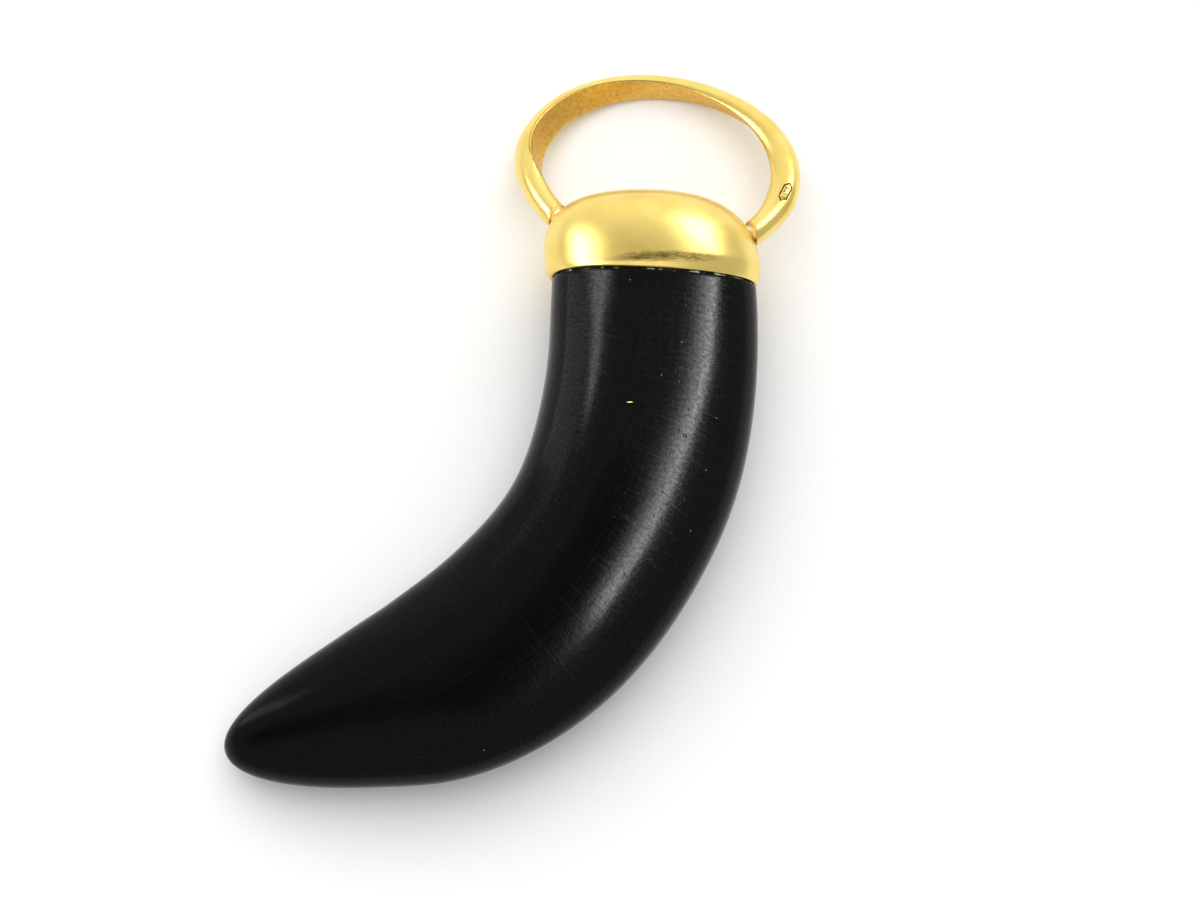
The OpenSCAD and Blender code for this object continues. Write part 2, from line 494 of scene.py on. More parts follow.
@dataclass(frozen=True)
class PolishedHorn:
    """Black horn, rubbed down and polished by hand: a soft gloss over faint fibres and small pores.

    Sizes and depths are in mm. A span is the part of a pattern over which it goes from nothing to full.
    Steps are how many finer sizes a cloudy pattern has, and how strong each is beside the one before.
    """

    name: str = "polished black horn"
    body: str = "#030303"
    fibre: str = "#050504"
    lint: str = "#9c9a92"
    gold_speck: str = "#cdb06a"
    ior: float = 1.52
    level: float = 0.1
    levels: Pair = (0.06, 0.14)
    gloss: float = 0.14
    gloss_change: float = 0.06
    cross_dulling: float = 0.08
    fibre_width: float = 0.22
    fibre_length: float = 7.0
    fibre_steps: Pair = (3.0, 0.6)
    fibre_span: Pair = (0.45, 0.75)
    fibre_depth: float = 0.0025
    rubbed_per_mm: Triple = (2.4, 4.0, 1.0)
    rubbed_turn: float = 8.0
    rubbed_steps: Pair = (4.0, 0.7)
    rubbed_span: Pair = (0.3, 0.7)
    cross_per_mm: Triple = (0.25, 4.5, 1.0)
    cross_turn: float = 6.0
    cross_steps: Pair = (2.0, 0.6)
    cross_span: Pair = (0.5, 0.75)
    cross_depth: float = 0.004
    cloud_size: float = 9.0
    swell_size: float = 16.0
    swell_depth: float = 0.25
    grit_size: float = 0.35
    grit_steps: Pair = (3.0, 0.7)
    grit_depth: float = 0.005
    pore_spacing: float = 0.8
    pore_stretch: float = 0.4
    pore_span: Pair = (0.08, 0.03)
    pore_group: float = 5.0
    pore_group_span: Pair = (0.47, 0.6)
    pore_dark: float = 0.65
    pore_share: float = 0.12
    pit_radius: float = 0.2
    pit_depth: float = 0.05
    dust_radius: float = 0.075
    dust_share: float = 0.3
    fleck_radius: float = 0.06
    fleck_longer: float = 5.5

    def make(
        self, girth: float, length: float, dust: Sequence[Vector], fleck: Vector, pit: Vector
    ) -> bpy.types.Material:
        """Make the material.

        Args:
            girth: The horn's girth in mm, for the pattern round it.
            length: Its length in mm.
            dust: Places of pale specks on it, in mm.
            fleck: Place of a small gold fleck.
            pit: Place of a small pit.

        Returns:
            The material.
        """
        f = Finish(self.name)
        # The export leaves the linked level out, so the input has a middle value of its own as well.
        f.cover({"IOR": self.ior, "Specular IOR Level": self.level})
        sheet = f.add(Node.SCALED, f.surface, (girth, length, 1.0))
        hand = f.stretch(sheet, self.rubbed_per_mm, self.rubbed_turn)
        rubbed = f.add(Node.NOISE, hand, 1.0, *self.rubbed_steps)
        level = f.add(Node.RAMP, rubbed, *self.rubbed_span, *self.levels)
        drawn = f.add(Node.SCALED, sheet, (1 / self.fibre_width, 1 / self.fibre_length, 1.0))
        fibres = f.add(Node.NOISE, drawn, 1.0, *self.fibre_steps)
        clouds = f.add(Node.NOISE, f.place, 1 / self.cloud_size)
        across = f.stretch(sheet, self.cross_per_mm, self.cross_turn)
        cross = f.add(Node.NOISE, across, 1.0, *self.cross_steps)
        net = (1 / self.pore_spacing, self.pore_stretch / self.pore_spacing, 1.0)
        dots = f.add(Node.DOTS, f.add(Node.SCALED, sheet, net), 1.0, "2D")
        groups = f.add(Node.NOISE, f.place, 1 / self.pore_group, 1.0)
        rare = f.add(Node.RAMP, groups, *self.pore_group_span)
        pore = f.add(Node.MATH, "MULTIPLY", f.add(Node.RAMP, dots, *self.pore_span), rare)
        filled = f.add(Node.MATH, "MULTIPLY_ADD", pore, -self.pore_dark, 1.0)
        grown = f.add(Node.RAMP, fibres, *self.fibre_span)
        colour = f.add(Node.MIX, grown, linear(self.body), linear(self.fibre))
        speck = f.near(dust[0], self.dust_radius)
        for spot in dust[1:]:
            speck = f.add(Node.MATH, "MAXIMUM", speck, f.near(spot, self.dust_radius))
        speck = f.add(Node.MATH, "MULTIPLY", speck, self.dust_share)
        colour = f.add(Node.MIX, speck, colour, linear(self.lint))
        bit = f.near(fleck, self.fleck_radius, self.fleck_longer)
        colour = f.add(Node.MIX, bit, colour, linear(self.gold_speck))
        least = self.gloss - self.gloss_change / 2
        rough = f.add(Node.MATH, "MULTIPLY_ADD", clouds, self.gloss_change, least)
        dull = f.add(Node.RAMP, cross, *self.cross_span)
        rough = f.add(Node.MATH, "MULTIPLY_ADD", dull, self.cross_dulling, rough)
        rough = f.add(Node.MATH, "MULTIPLY_ADD", fibres, self.gloss_change, rough)
        swell = f.add(Node.NOISE, f.place, 1 / self.swell_size, 1.0)
        relief = f.add(Node.BUMP, swell, self.swell_depth * MM)
        relief = f.add(Node.BUMP, fibres, self.fibre_depth * MM, relief)
        relief = f.add(Node.BUMP, cross, self.cross_depth * MM, relief)
        grit = f.add(Node.NOISE, f.place, 1 / self.grit_size, *self.grit_steps)
        relief = f.add(Node.BUMP, grit, self.grit_depth * MM, relief)
        shallow = f.add(Node.MATH, "MULTIPLY", pore, self.pore_share)
        hollow = f.add(Node.MATH, "MAXIMUM", shallow, f.near(pit, self.pit_radius))
        height = f.add(Node.MATH, "SUBTRACT", 1.0, hollow)
        relief = f.add(Node.BUMP, height, self.pit_depth * MM, relief)
        level = f.add(Node.MATH, "MULTIPLY", level, filled)
        return f.cover(
            {"Base Color": colour, "Roughness": rough, "Normal": relief, "Specular IOR Level": level}
        )


@dataclass(frozen=True)
class SatinGold:
    """18 carat yellow gold with a satin finish: fine abrasive grain, and scratches from wear.

    Sizes and depths are in mm, and spans and steps are as on the horn. A real satin grain is finer than
    the render shows, so it is drawn as coarse as it needs to show.
    """

    name: str = "satin 18 carat gold"
    colour: str = "#f6dd82"
    worn: str = "#f0d173"
    worn_size: float = 3.5
    worn_steps: Pair = (3.0, 0.5)
    worn_span: Pair = (0.4, 0.7)
    # Painted dark reflection: the gold over the cap's mouth is darkened for the dark room that it mirrors,
    # in streaks that follow the worn satin there.
    streaky_dark_reflection: str = "#8a7436"
    streaks_per_mm: Triple = (0.7, 4.5, 4.5)
    streak_steps: Pair = (5.0, 0.75)
    streak_span: Pair = (0.4, 0.56)
    dark_reflection_share: float = 0.7
    patch_radius: float = 0.62
    patch_longer: float = 9.0
    gloss: float = 0.30
    gloss_change: float = 0.08
    gloss_size: float = 2.2
    gloss_steps: Pair = (4.0, 0.6)
    grain: float = 0.12
    grain_longer: float = 2.5
    grain_steps: Pair = (3.0, 0.6)
    grain_depth: float = 0.005
    brush_per_mm: float = 0.7
    scratches: Sequence[Pair] = ((22.0, 2.4), (-38.0, 1.8))
    scratch_width: float = 0.07
    scratch_per_mm: float = 0.3
    scratch_span: Pair = (0.72, 0.78)
    scratch_depth: float = 0.0018

    def start(self) -> tuple[Finish, Socket, Socket, Socket]:
        """Lay the metal's grain and scratches.

        Returns:
            The finish, and the sockets of its colour, its roughness and its normal.
        """
        f = Finish(self.name)
        f.cover({"Metallic": 1.0})
        clouds = f.add(Node.NOISE, f.place, 1 / self.worn_size, *self.worn_steps)
        wear = f.add(Node.RAMP, clouds, *self.worn_span)
        colour = f.add(Node.MIX, wear, linear(self.colour), linear(self.worn))
        pebble = self.grain * self.grain_longer
        pebbled = f.add(Node.NOISE, f.place, 1 / pebble, *self.grain_steps)
        relief = f.add(Node.BUMP, pebbled, self.grain_depth * MM)
        strokes = f.add(Node.SCALED, f.place, (self.brush_per_mm, 1 / self.grain, 1 / self.grain))
        brushed = f.add(Node.NOISE, strokes, 1.0, *self.grain_steps)
        relief = f.add(Node.BUMP, brushed, self.grain_depth * MM, relief)
        for turn, length in self.scratches:
            fine = (1 / length, 1 / self.scratch_width, self.scratch_per_mm)
            drawn = f.stretch(f.place, fine, turn)
            lines = f.add(Node.RAMP, f.add(Node.NOISE, drawn, 1.0, 1.0), *self.scratch_span)
            relief = f.add(Node.BUMP, lines, -self.scratch_depth * MM, relief)
        patches = f.add(Node.NOISE, f.place, 1 / self.gloss_size, *self.gloss_steps)
        least = self.gloss - self.gloss_change / 2
        rough = f.add(Node.MATH, "MULTIPLY_ADD", patches, self.gloss_change, least)
        return f, colour, rough, relief

    def make(self, rubbed: Vector) -> bpy.types.Material:
        """Make the cap's finish, with a painted dark reflection over its mouth: a band darkened in streaks
        like the worn satin there.

        Args:
            rubbed: The middle of the painted dark reflection band, in mm.

        Returns:
            The material.
        """
        f, colour, rough, relief = self.start()
        # Painted dark reflection over the mouth, laid in streaks like the worn satin.
        drawn = f.add(Node.SCALED, f.place, self.streaks_per_mm)
        drawn = f.add(Node.NOISE, drawn, 1.0, *self.streak_steps)
        streaks = f.add(Node.RAMP, drawn, *self.streak_span)
        around = f.near(rubbed, self.patch_radius, self.patch_longer)
        dark_reflection_band = f.add(Node.MATH, "MULTIPLY", around, streaks)
        dark_reflection_band = f.add(Node.MATH, "MULTIPLY", dark_reflection_band, self.dark_reflection_share)
        colour = f.add(Node.MIX, dark_reflection_band, colour, linear(self.streaky_dark_reflection))
        return f.cover({"Base Color": colour, "Roughness": rough, "Normal": relief})


@dataclass(frozen=True)
class StampPlace:
    """Where the worn stamp is struck: its middle and its own axes, in mm on the table's frame."""

    middle: Vector
    along: Vector
    out: Vector

    @property
    def turn(self) -> Triple:
        """Work out the turn from the table's frame to the stamp's.

        Returns:
            The turn as angles in radians.
        """
        x = self.along.normalized()
        z = (self.out - x * self.out.dot(x)).normalized()
        angles = Matrix((x, z.cross(x), z)).transposed().to_euler()
        return angles.x, angles.y, angles.z


@dataclass(frozen=True)
class BailGold:
    """The bail's gold: satin outside, duller inside, with small pits and a worn stamp. The inner face has
    painted reflection, a darker and more orange gold; the pins and cut ends have painted light, a paler
    gold; and a painted dark reflection runs along the inner face's crease.

    Sizes and depths are in mm, and spans and steps are as on the horn.
    """

    metal: SatinGold = SatinGold(name="satin 18 carat gold wire", gloss=0.26)
    # Painted reflection: the inner face is coloured a darker, more orange gold for the gold that it
    # mirrors; the mottle in it is its grain.
    inside: str = "#e8c064"
    inside_mottle: str = "#d2a44c"
    inside_size: float = 0.5
    inside_steps: Pair = (4.0, 0.7)
    inside_span: Pair = (0.35, 0.7)
    # Painted light: a paler gold on the pins and cut ends, lifting the shade in the gap where the wire
    # meets the cap.
    painted_light_on_ends: str = "#fff0cb"
    # Dark colour for the pits, the stamp's marks and the painted dark reflection line along the crease.
    dark_colour: str = "#3d2c0e"
    dulling: float = 0.14
    pits_per_mm: float = 1.3
    pit_span: Pair = (0.2, 0.08)
    pit_group: float = 3.0
    pit_group_span: Pair = (0.54, 0.64)
    pit_depth: float = 0.03
    pit_dark: float = 0.6
    # Where the painted dark reflection line sits on the inner face's edge, its span, and its strength.
    corner: float = 0.35
    corner_span: Pair = (0.35, 0.1)
    painted_corner_reflection: float = 0.7
    stamp_length: float = 2.4
    stamp_height: float = 0.92
    stamp_depth: float = 0.08
    stamp_reach: Pair = (1.0, 0.8)
    stamp_dark: float = 0.95
    stamp_slant: Pair = (0.72, 0.7)
    stamp_wear: float = 0.5
    stamp_wear_span: Pair = (0.3, 0.45)
    stamp_wear_share: Pair = (0.5, 1.0)
    line_span: Pair = (0.13, 0.052)
    marks_per_mm: Triple = (2.4, 1.5, 0.2)
    mark_size: float = 0.8
    mark_span: Pair = (0.52, 0.62)
    mark_margin: Pair = (-0.12, -0.24)
    mark_share: float = 0.8

    def make(self, stamp: StampPlace) -> bpy.types.Material:
        """Make the material.

        Args:
            stamp: Where the stamp is.

        Returns:
            The material.
        """
        f, colour, rough, relief = self.metal.start()
        inner = f.add(Node.CARRIED, "inner")
        end = f.add(Node.CARRIED, "end")
        holes = f.add(Node.RAMP, f.add(Node.DOTS, f.place, self.pits_per_mm), *self.pit_span)
        groups = f.add(Node.NOISE, f.place, 1 / self.pit_group, 1.0)
        rare = f.add(Node.RAMP, groups, *self.pit_group_span)
        pit = f.add(Node.MATH, "MULTIPLY", f.add(Node.MATH, "MULTIPLY", holes, inner), rare)
        # The inner face's painted reflection colour, mottled by its grain.
        grain = f.add(Node.NOISE, f.place, 1 / self.inside_size, *self.inside_steps)
        grain = f.add(Node.RAMP, grain, *self.inside_span)
        inside = f.add(Node.MIX, grain, linear(self.inside), linear(self.inside_mottle))
        colour = f.add(Node.MIX, inner, colour, inside)
        # Painted light on the pins and cut ends.
        colour = f.add(Node.MIX, end, colour, linear(self.painted_light_on_ends))
        marks = self.stamp(f, stamp)
        dark_pit = f.add(Node.MATH, "MULTIPLY", pit, self.pit_dark)
        dark_mark = f.add(Node.MATH, "MULTIPLY", marks, self.stamp_dark)
        # Painted dark reflection along the inner face's crease, and darker colour in the pits and the
        # stamp's marks.
        from_corner = f.add(Node.MATH, "ABSOLUTE", f.add(Node.MATH, "SUBTRACT", inner, self.corner))
        painted_corner_line = f.add(Node.RAMP, from_corner, *self.corner_span, 0.0, self.painted_corner_reflection)
        darkening = f.add(Node.MATH, "MAXIMUM", f.add(Node.MATH, "MAXIMUM", dark_pit, dark_mark), painted_corner_line)
        colour = f.add(Node.MIX, darkening, colour, linear(self.dark_colour))
        height = f.add(Node.MATH, "SUBTRACT", 1.0, pit)
        relief = f.add(Node.BUMP, height, self.pit_depth * MM, relief)
        height = f.add(Node.MATH, "SUBTRACT", 1.0, marks)
        relief = f.add(Node.BUMP, height, self.stamp_depth * MM, relief)
        duller = f.add(Node.MATH, "MAXIMUM", inner, end)
        rough = f.add(Node.MATH, "MULTIPLY_ADD", duller, self.dulling, rough)
        return f.cover({"Base Color": colour, "Roughness": rough, "Normal": relief})

    def stamp(self, f: Finish, stamp: StampPlace) -> Socket:
        """Draw the stamp: a long hexagon with worn, unreadable marks in it.

        Args:
            f: The finish that it goes into.
            stamp: Where it is.

        Returns:
            The socket of its depth, from 0 to 1.
        """
        own = f.add(Node.OWN, f.place, tuple(stamp.middle), stamp.turn)
        along, across, deep = f.add(Node.PARTS, f.add(Node.VECTOR, "ABSOLUTE", own)).node.outputs
        side = f.add(Node.MATH, "SUBTRACT", across, self.stamp_height / 2)
        slant_along, slant_across = self.stamp_slant
        slant = f.add(Node.MATH, "MULTIPLY", along, slant_along)
        slant = f.add(Node.MATH, "MULTIPLY_ADD", across, slant_across, slant)
        slant = f.add(Node.MATH, "SUBTRACT", slant, self.stamp_length / 2 * slant_along)
        edge = f.add(Node.MATH, "MAXIMUM", side, slant)
        shallow = f.add(Node.RAMP, deep, *self.stamp_reach)
        outline = f.add(Node.RAMP, f.add(Node.MATH, "ABSOLUTE", edge), *self.line_span)
        wear = f.add(Node.NOISE, f.place, 1 / self.stamp_wear)
        worn = f.add(Node.RAMP, wear, *self.stamp_wear_span, *self.stamp_wear_share)
        blots = f.add(Node.NOISE, f.add(Node.SCALED, own, self.marks_per_mm), 1 / self.mark_size, 1.0)
        blots = f.add(Node.RAMP, blots, *self.mark_span)
        within = f.add(Node.MATH, "MULTIPLY", blots, f.add(Node.RAMP, edge, *self.mark_margin))
        within = f.add(Node.MATH, "MULTIPLY", within, self.mark_share)
        both = f.add(Node.MATH, "MAXIMUM", f.add(Node.MATH, "MULTIPLY", outline, worn), within)
        return f.add(Node.MATH, "MULTIPLY", both, shallow)


@dataclass(frozen=True)
class SettingCement:
    """The grey-white cement that holds the horn: chalky, crumbled, dark with dirt between its crumbs."""

    name: str = "old setting cement"
    pale: str = "#b9b8ad"
    darkening: str = "#15130f"
    roughness: float = 0.85
    crumb_size: float = 1.1
    crumb_steps: Pair = (3.0, 0.6)
    crumb_span: Pair = (0.52, 0.6)
    grit_size: float = 0.15
    grit_depth: float = 0.03

    def make(self) -> bpy.types.Material:
        """Make the material.

        Returns:
            The material.
        """
        f = Finish(self.name)
        crumbs = f.add(Node.NOISE, f.place, 1 / self.crumb_size, *self.crumb_steps)
        crumbs = f.add(Node.RAMP, crumbs, *self.crumb_span)
        colour = f.add(Node.MIX, crumbs, linear(self.darkening), linear(self.pale))
        grit = f.add(Node.NOISE, f.place, 1 / self.grit_size)
        relief = f.add(Node.BUMP, grit, self.grit_depth * MM)
        return f.cover({"Base Color": colour, "Roughness": self.roughness, "Normal": relief})


@dataclass(frozen=True)
class MattCard:
    """The table: matt white card with a faint fibre, lit until it is almost white."""

    name: str = "matt white card"
    colour: str = "#fbfbfc"
    fibre: str = "#f7f7f8"
    roughness: float = 0.9
    level: float = 0.2
    fibre_size: float = 0.8
    fibre_steps: Pair = (3.0, 0.5)
    fibre_depth: float = 0.02

    def make(self) -> bpy.types.Material:
        """Make the material.

        Returns:
            The material.
        """
        f = Finish(self.name)
        fibres = f.add(Node.NOISE, f.place, 1 / self.fibre_size, *self.fibre_steps)
        colour = f.add(Node.MIX, fibres, linear(self.colour), linear(self.fibre))
        relief = f.add(Node.BUMP, fibres, self.fibre_depth * MM)
        f.cover({"Roughness": self.roughness, "Specular IOR Level": self.level})
        return f.cover({"Base Color": colour, "Normal": relief})


# The pendant


@dataclass
class Horn:
    """The curved black horn, with its reduced seat inside the cap. Sizes in mm and degrees.

    The rows of bend give the length of each stretch of the horn and how far it turns. The rows of form
    give the distance from the tip, the width and the thickness. Spots on the horn are given by their
    distance from the cap's mouth and their place across, from -1 to 1.
    """

    length: float = 79.6
    seat_heights: Sequence[float] = (4.0, 3.7, 0.6, -0.02)
    seat_half_width: float = 10.8
    seat_half_thickness: float = 6.55
    seat_shift: float = -0.1
    setback: float = 2.0
    mouth_tilt: float = 2.6
    tilt_run: float = 1.5
    neck_in: float = 0.1
    neck_run: float = 2.4
    shoulder: float = 0.25
    shoulder_start: float = 0.1
    shoulder_shares: Sequence[float] = (0.0, 0.35, 0.75, 1.0)
    sides: int = 72
    stations: int = 92
    first_station: float = 0.5
    crowding: float = 1.55
    tip_face: float = 0.04
    girth: float = 62.0
    pattern_length: float = 84.0
    fleck: Pair = (15.44, -0.13)
    pit: Pair = (17.75, 0.42)
    dust: Sequence[Pair] = (
        (8.19, 0.28),
        (11.94, 0.12),
        (20.28, 0.68),
        (15.25, 0.67),
        (1.45, -0.21),
        (25.87, 0.74),
        (52.99, 0.81),
    )
    bend: Sequence[Pair] = ((6, 1), (12, 11.6), (40, 59), (23, 4.6))
    form: Profile = Profile(
        tuple(
            (math.sqrt(distance), width, thickness)
            for distance, width, thickness in (
                (0, 0, 0),
                (1.5, 5.4, 4.4),
                (4, 8.8, 6.5),
                (8, 12.4, 8.4),
                (14, 16.3, 9.8),
                (25, 21.7, 11.5),
                (37, 23.6, 13),
                (50, 23.4, 14.6),
                (60, 23.8, 15.1),
                (72, 23.5, 14.8),
                (90, 22.9, 14.2),
            )
        )
    )
    oval: Oval = Oval()
    finish: PolishedHorn = PolishedHorn()

    def middle(self, along: float) -> tuple[Vector, float]:
        """Follow the horn's middle line.

        Args:
            along: Distance from the cap's mouth.

        Returns:
            The point of the line, and its heading in radians from straight down.
        """
        point, heading, left = Vector((0.0, 0.0)), 0.0, max(along, 0.0)
        for span, turn in self.bend:
            if left <= 0:
                break
            radius = span / math.radians(turn)
            after = heading + math.radians(turn) * min(left, span) / span
            step = Vector((math.cos(after) - math.cos(heading), math.sin(heading) - math.sin(after)))
            point += radius * step
            heading, left = after, left - span
        return point, heading

    def skin_point(self, along: float, across: float, up: float, inset: float = 0.0) -> Vector:
        """Find a point on the horn's skin.

        Args:
            along: Distance from the cap's mouth.
            across: Place across the section, from -1 to 1.
            up: Place through the section, from -1 to 1.
            inset: How far the skin lies inside its full size.

        Returns:
            The point in the pendant's own frame.
        """
        point, heading = self.middle(along)
        root = math.sqrt(max(self.length - along, 0.0))
        neck = inset + self.neck_in * math.exp(-((along / self.neck_run) ** 2))
        x = (self.form.at(root, 1) / 2 - neck) * across
        z = (self.form.at(root, 2) / 2 - neck) * up - self.setback * (along / self.length) ** 2
        tilt = math.radians(self.mouth_tilt) * math.exp(-((along / self.tilt_run) ** 2))
        drop = x * math.sin(max(heading, 0.0)) + x * math.tan(tilt)
        return Vector((point.x + x * math.cos(heading), point.y - drop, z))

    def rings(self) -> list[Ring]:
        """Work out the horn's rings.

        Returns:
            The rings of its seat, its rounded shoulder and its skin down to the tip.
        """
        outline = self.oval.points(self.sides)
        seat = [
            (self.seat_half_width * across + self.seat_shift, self.seat_half_thickness * up)
            for across, up in outline
        ]
        tilt = math.tan(math.radians(self.mouth_tilt))
        rings = [[Vector((x, height - x * tilt, z)) for x, z in seat] for height in self.seat_heights]
        for share in self.shoulder_shares:
            turn = share * math.pi / 2
            along = self.shoulder_start + self.shoulder * (1 - math.cos(turn))
            inset = self.shoulder * (1 - math.sin(turn))
            rings.append([self.skin_point(along, x, y, inset) for x, y in outline])
        first = self.length - self.first_station
        for i in range(1, self.stations + 1):
            from_tip = max(first * (1 - i / self.stations) ** self.crowding, self.tip_face)
            rings.append([self.skin_point(self.length - from_tip, x, y) for x, y in outline])
        return rings

    def spot(self, along: float, across: float) -> Vector:
        """A place on the horn's front, in mm on the table's frame."""
        x, y = self.oval.point(self.oval.turn_at(across))
        return LYING.pendant @ self.skin_point(along, x, y)

    def build(self) -> Piece:
        """Build and dress the horn.

        Returns:
            The dressed horn.
        """
        rings = placed(self.rings(), LYING.pendant)
        piece = Loft("horn_skin", rings, End.FLAT, End.POLE).build()
        self.dress(piece)
        return piece

    def dress(self, piece: Piece) -> None:
        """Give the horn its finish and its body.

        Args:
            piece: The horn.
        """
        dust = [self.spot(*place) for place in self.dust]
        fleck, pit = self.spot(*self.fleck), self.spot(*self.pit)
        material = self.finish.make(self.girth, self.pattern_length, dust, fleck, pit)
        piece.data.materials.append(material)
        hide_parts("horn")
        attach(piece, Body.PENDANT.value)


@dataclass
class Cap:
    """The hollow domed gold cap, with a thin rounded lip and the two bores of the hinge.

    Sizes in mm and degrees.
    """

    width: float = 24.3
    thickness: float = 15.8
    height: float = 10.4
    belly: float = 1.6
    tuck: float = 0.55
    dome_squareness: float = 2.65
    dome_top: float = 89.7
    dome_crowding: float = 1.15
    lean: float = 1.25
    mouth_tilt: float = 2.6
    wall: float = 0.7
    shift: float = -0.1
    lip: float = 0.3
    level: float = 0.08
    # Middle of the painted dark reflection band over the cap's mouth.
    rubbed: Triple = (1.5, 1.15, 7.2)
    bore: float = 1.48
    bore_sides: int = 48
    bore_reach: float = 1.2
    bore_sharp_angle: float = 40.0
    sides: int = 96
    dome_rings: int = 30
    tuck_rings: int = 8
    lip_rings: int = 6
    oval: Oval = Oval()
    finish: SatinGold = SatinGold()

    def ring(self, height: float, inset: float, share: float = 1.0) -> Ring:
        """Work out one ring of the cap.

        Args:
            height: Height above the mouth.
            inset: How far the ring lies inside the cap's full size.
            share: How large it is of what that leaves.

        Returns:
            Its points in the pendant's own frame.
        """
        half_width = (self.width / 2 - inset) * share
        half_thickness = (self.thickness / 2 - inset) * share
        lean = self.lean * max(height - self.belly, 0.0) / (self.height - self.belly)
        low = min(max(1 - height / self.belly, 0.0), 1.0)
        tilt = math.tan(math.radians(self.mouth_tilt)) * low
        level = self.level * ease(height / self.belly)
        ring = []
        for across, up in self.oval.points(self.sides):
            x = self.shift - lean + half_width * across
            z = half_thickness * (up + level * across * max(up, 0.0) ** 2)
            ring.append(Vector((x, height - x * tilt, z)))
        return ring

    def dome(self, inset: float) -> list[Ring]:
        """Work out the rings of a dome.

        Args:
            inset: How far it lies inside the cap's full size.

        Returns:
            The rings from its top to the cap's widest line.
        """
        reach = self.height - self.belly - inset
        rings = []
        for i in range(self.dome_rings + 1):
            turn = math.radians(self.dome_top * (1 - i / self.dome_rings) ** self.dome_crowding)
            height = self.belly + reach * squared(math.sin(turn), self.dome_squareness)
            rings.append(self.ring(height, inset, squared(math.cos(turn), self.dome_squareness)))
        return rings

    def tuck_at(self, height: float) -> float:
        """How far the outside is tucked in at a height under the widest line."""
        return self.tuck * (1 - height / self.belly) ** 2

    def skirt(self, inset: float) -> list[Ring]:
        """Work out the rings between the widest line and the lip.

        Args:
            inset: How far they lie inside the cap's outside.

        Returns:
            The rings, tucked in towards the mouth.
        """
        rings = []
        for i in range(1, self.tuck_rings + 1):
            height = blend(self.belly, self.lip, i / self.tuck_rings)
            rings.append(self.ring(height, self.tuck_at(height) + inset))
        return rings

    def edge(self) -> list[Ring]:
        """Work out the rings round the lip.

        Returns:
            The rings from its outer to its inner side.
        """
        middle = self.tuck_at(self.lip) + self.wall / 2
        rings = []
        for i in range(1, self.lip_rings):
            turn = math.pi * i / self.lip_rings
            inset = middle - self.wall / 2 * math.cos(turn)
            rings.append(self.ring(self.lip * (1 - math.sin(turn)), inset))
        return rings

    def rings(self) -> list[Ring]:
        """The cap's rings, from the top of its outside round the lip to the top of its inside."""
        inside = self.dome(self.wall) + self.skirt(self.wall)
        return self.dome(0.0) + self.skirt(0.0) + self.edge() + inside[::-1]

    def build(self) -> Piece:
        """Build, drill and dress the cap.

        Returns:
            The dressed cap.
        """
        rings = placed(self.rings(), LYING.pendant)
        piece = Loft("cap_shell", rings, End.POLE, End.POLE).build()
        self.drill(piece)
        self.dress(piece)
        return piece

    def drill(self, piece: Piece) -> None:
        """Cut the two bores of the hinge.

        Args:
            piece: The cap.
        """
        place = LYING.pins
        start_clean()
        bpy.ops.mesh.primitive_cylinder_add(
            vertices=self.bore_sides,
            radius=self.bore / 2 * MM,
            depth=self.width * self.bore_reach * MM,
            location=place.translation * MM,
            rotation=(place @ Matrix.Rotation(math.pi / 2, 4, "Y")).to_euler(),
        )
        drill = bpy.context.object
        apply_modifier(piece, "BOOLEAN", operation="DIFFERENCE", object=drill, solver="EXACT")
        bpy.data.objects.remove(drill, do_unlink=True)
        make_active(piece)
        bpy.ops.object.shade_smooth_by_angle(angle=math.radians(self.bore_sharp_angle))

    def dress(self, piece: Piece) -> None:
        """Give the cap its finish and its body.

        Args:
            piece: The cap.
        """
        piece.data.materials.clear()
        piece.data.materials.append(self.finish.make(LYING.pendant @ Vector(self.rubbed)))
        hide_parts("cap")
        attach(piece, Body.PENDANT.value)


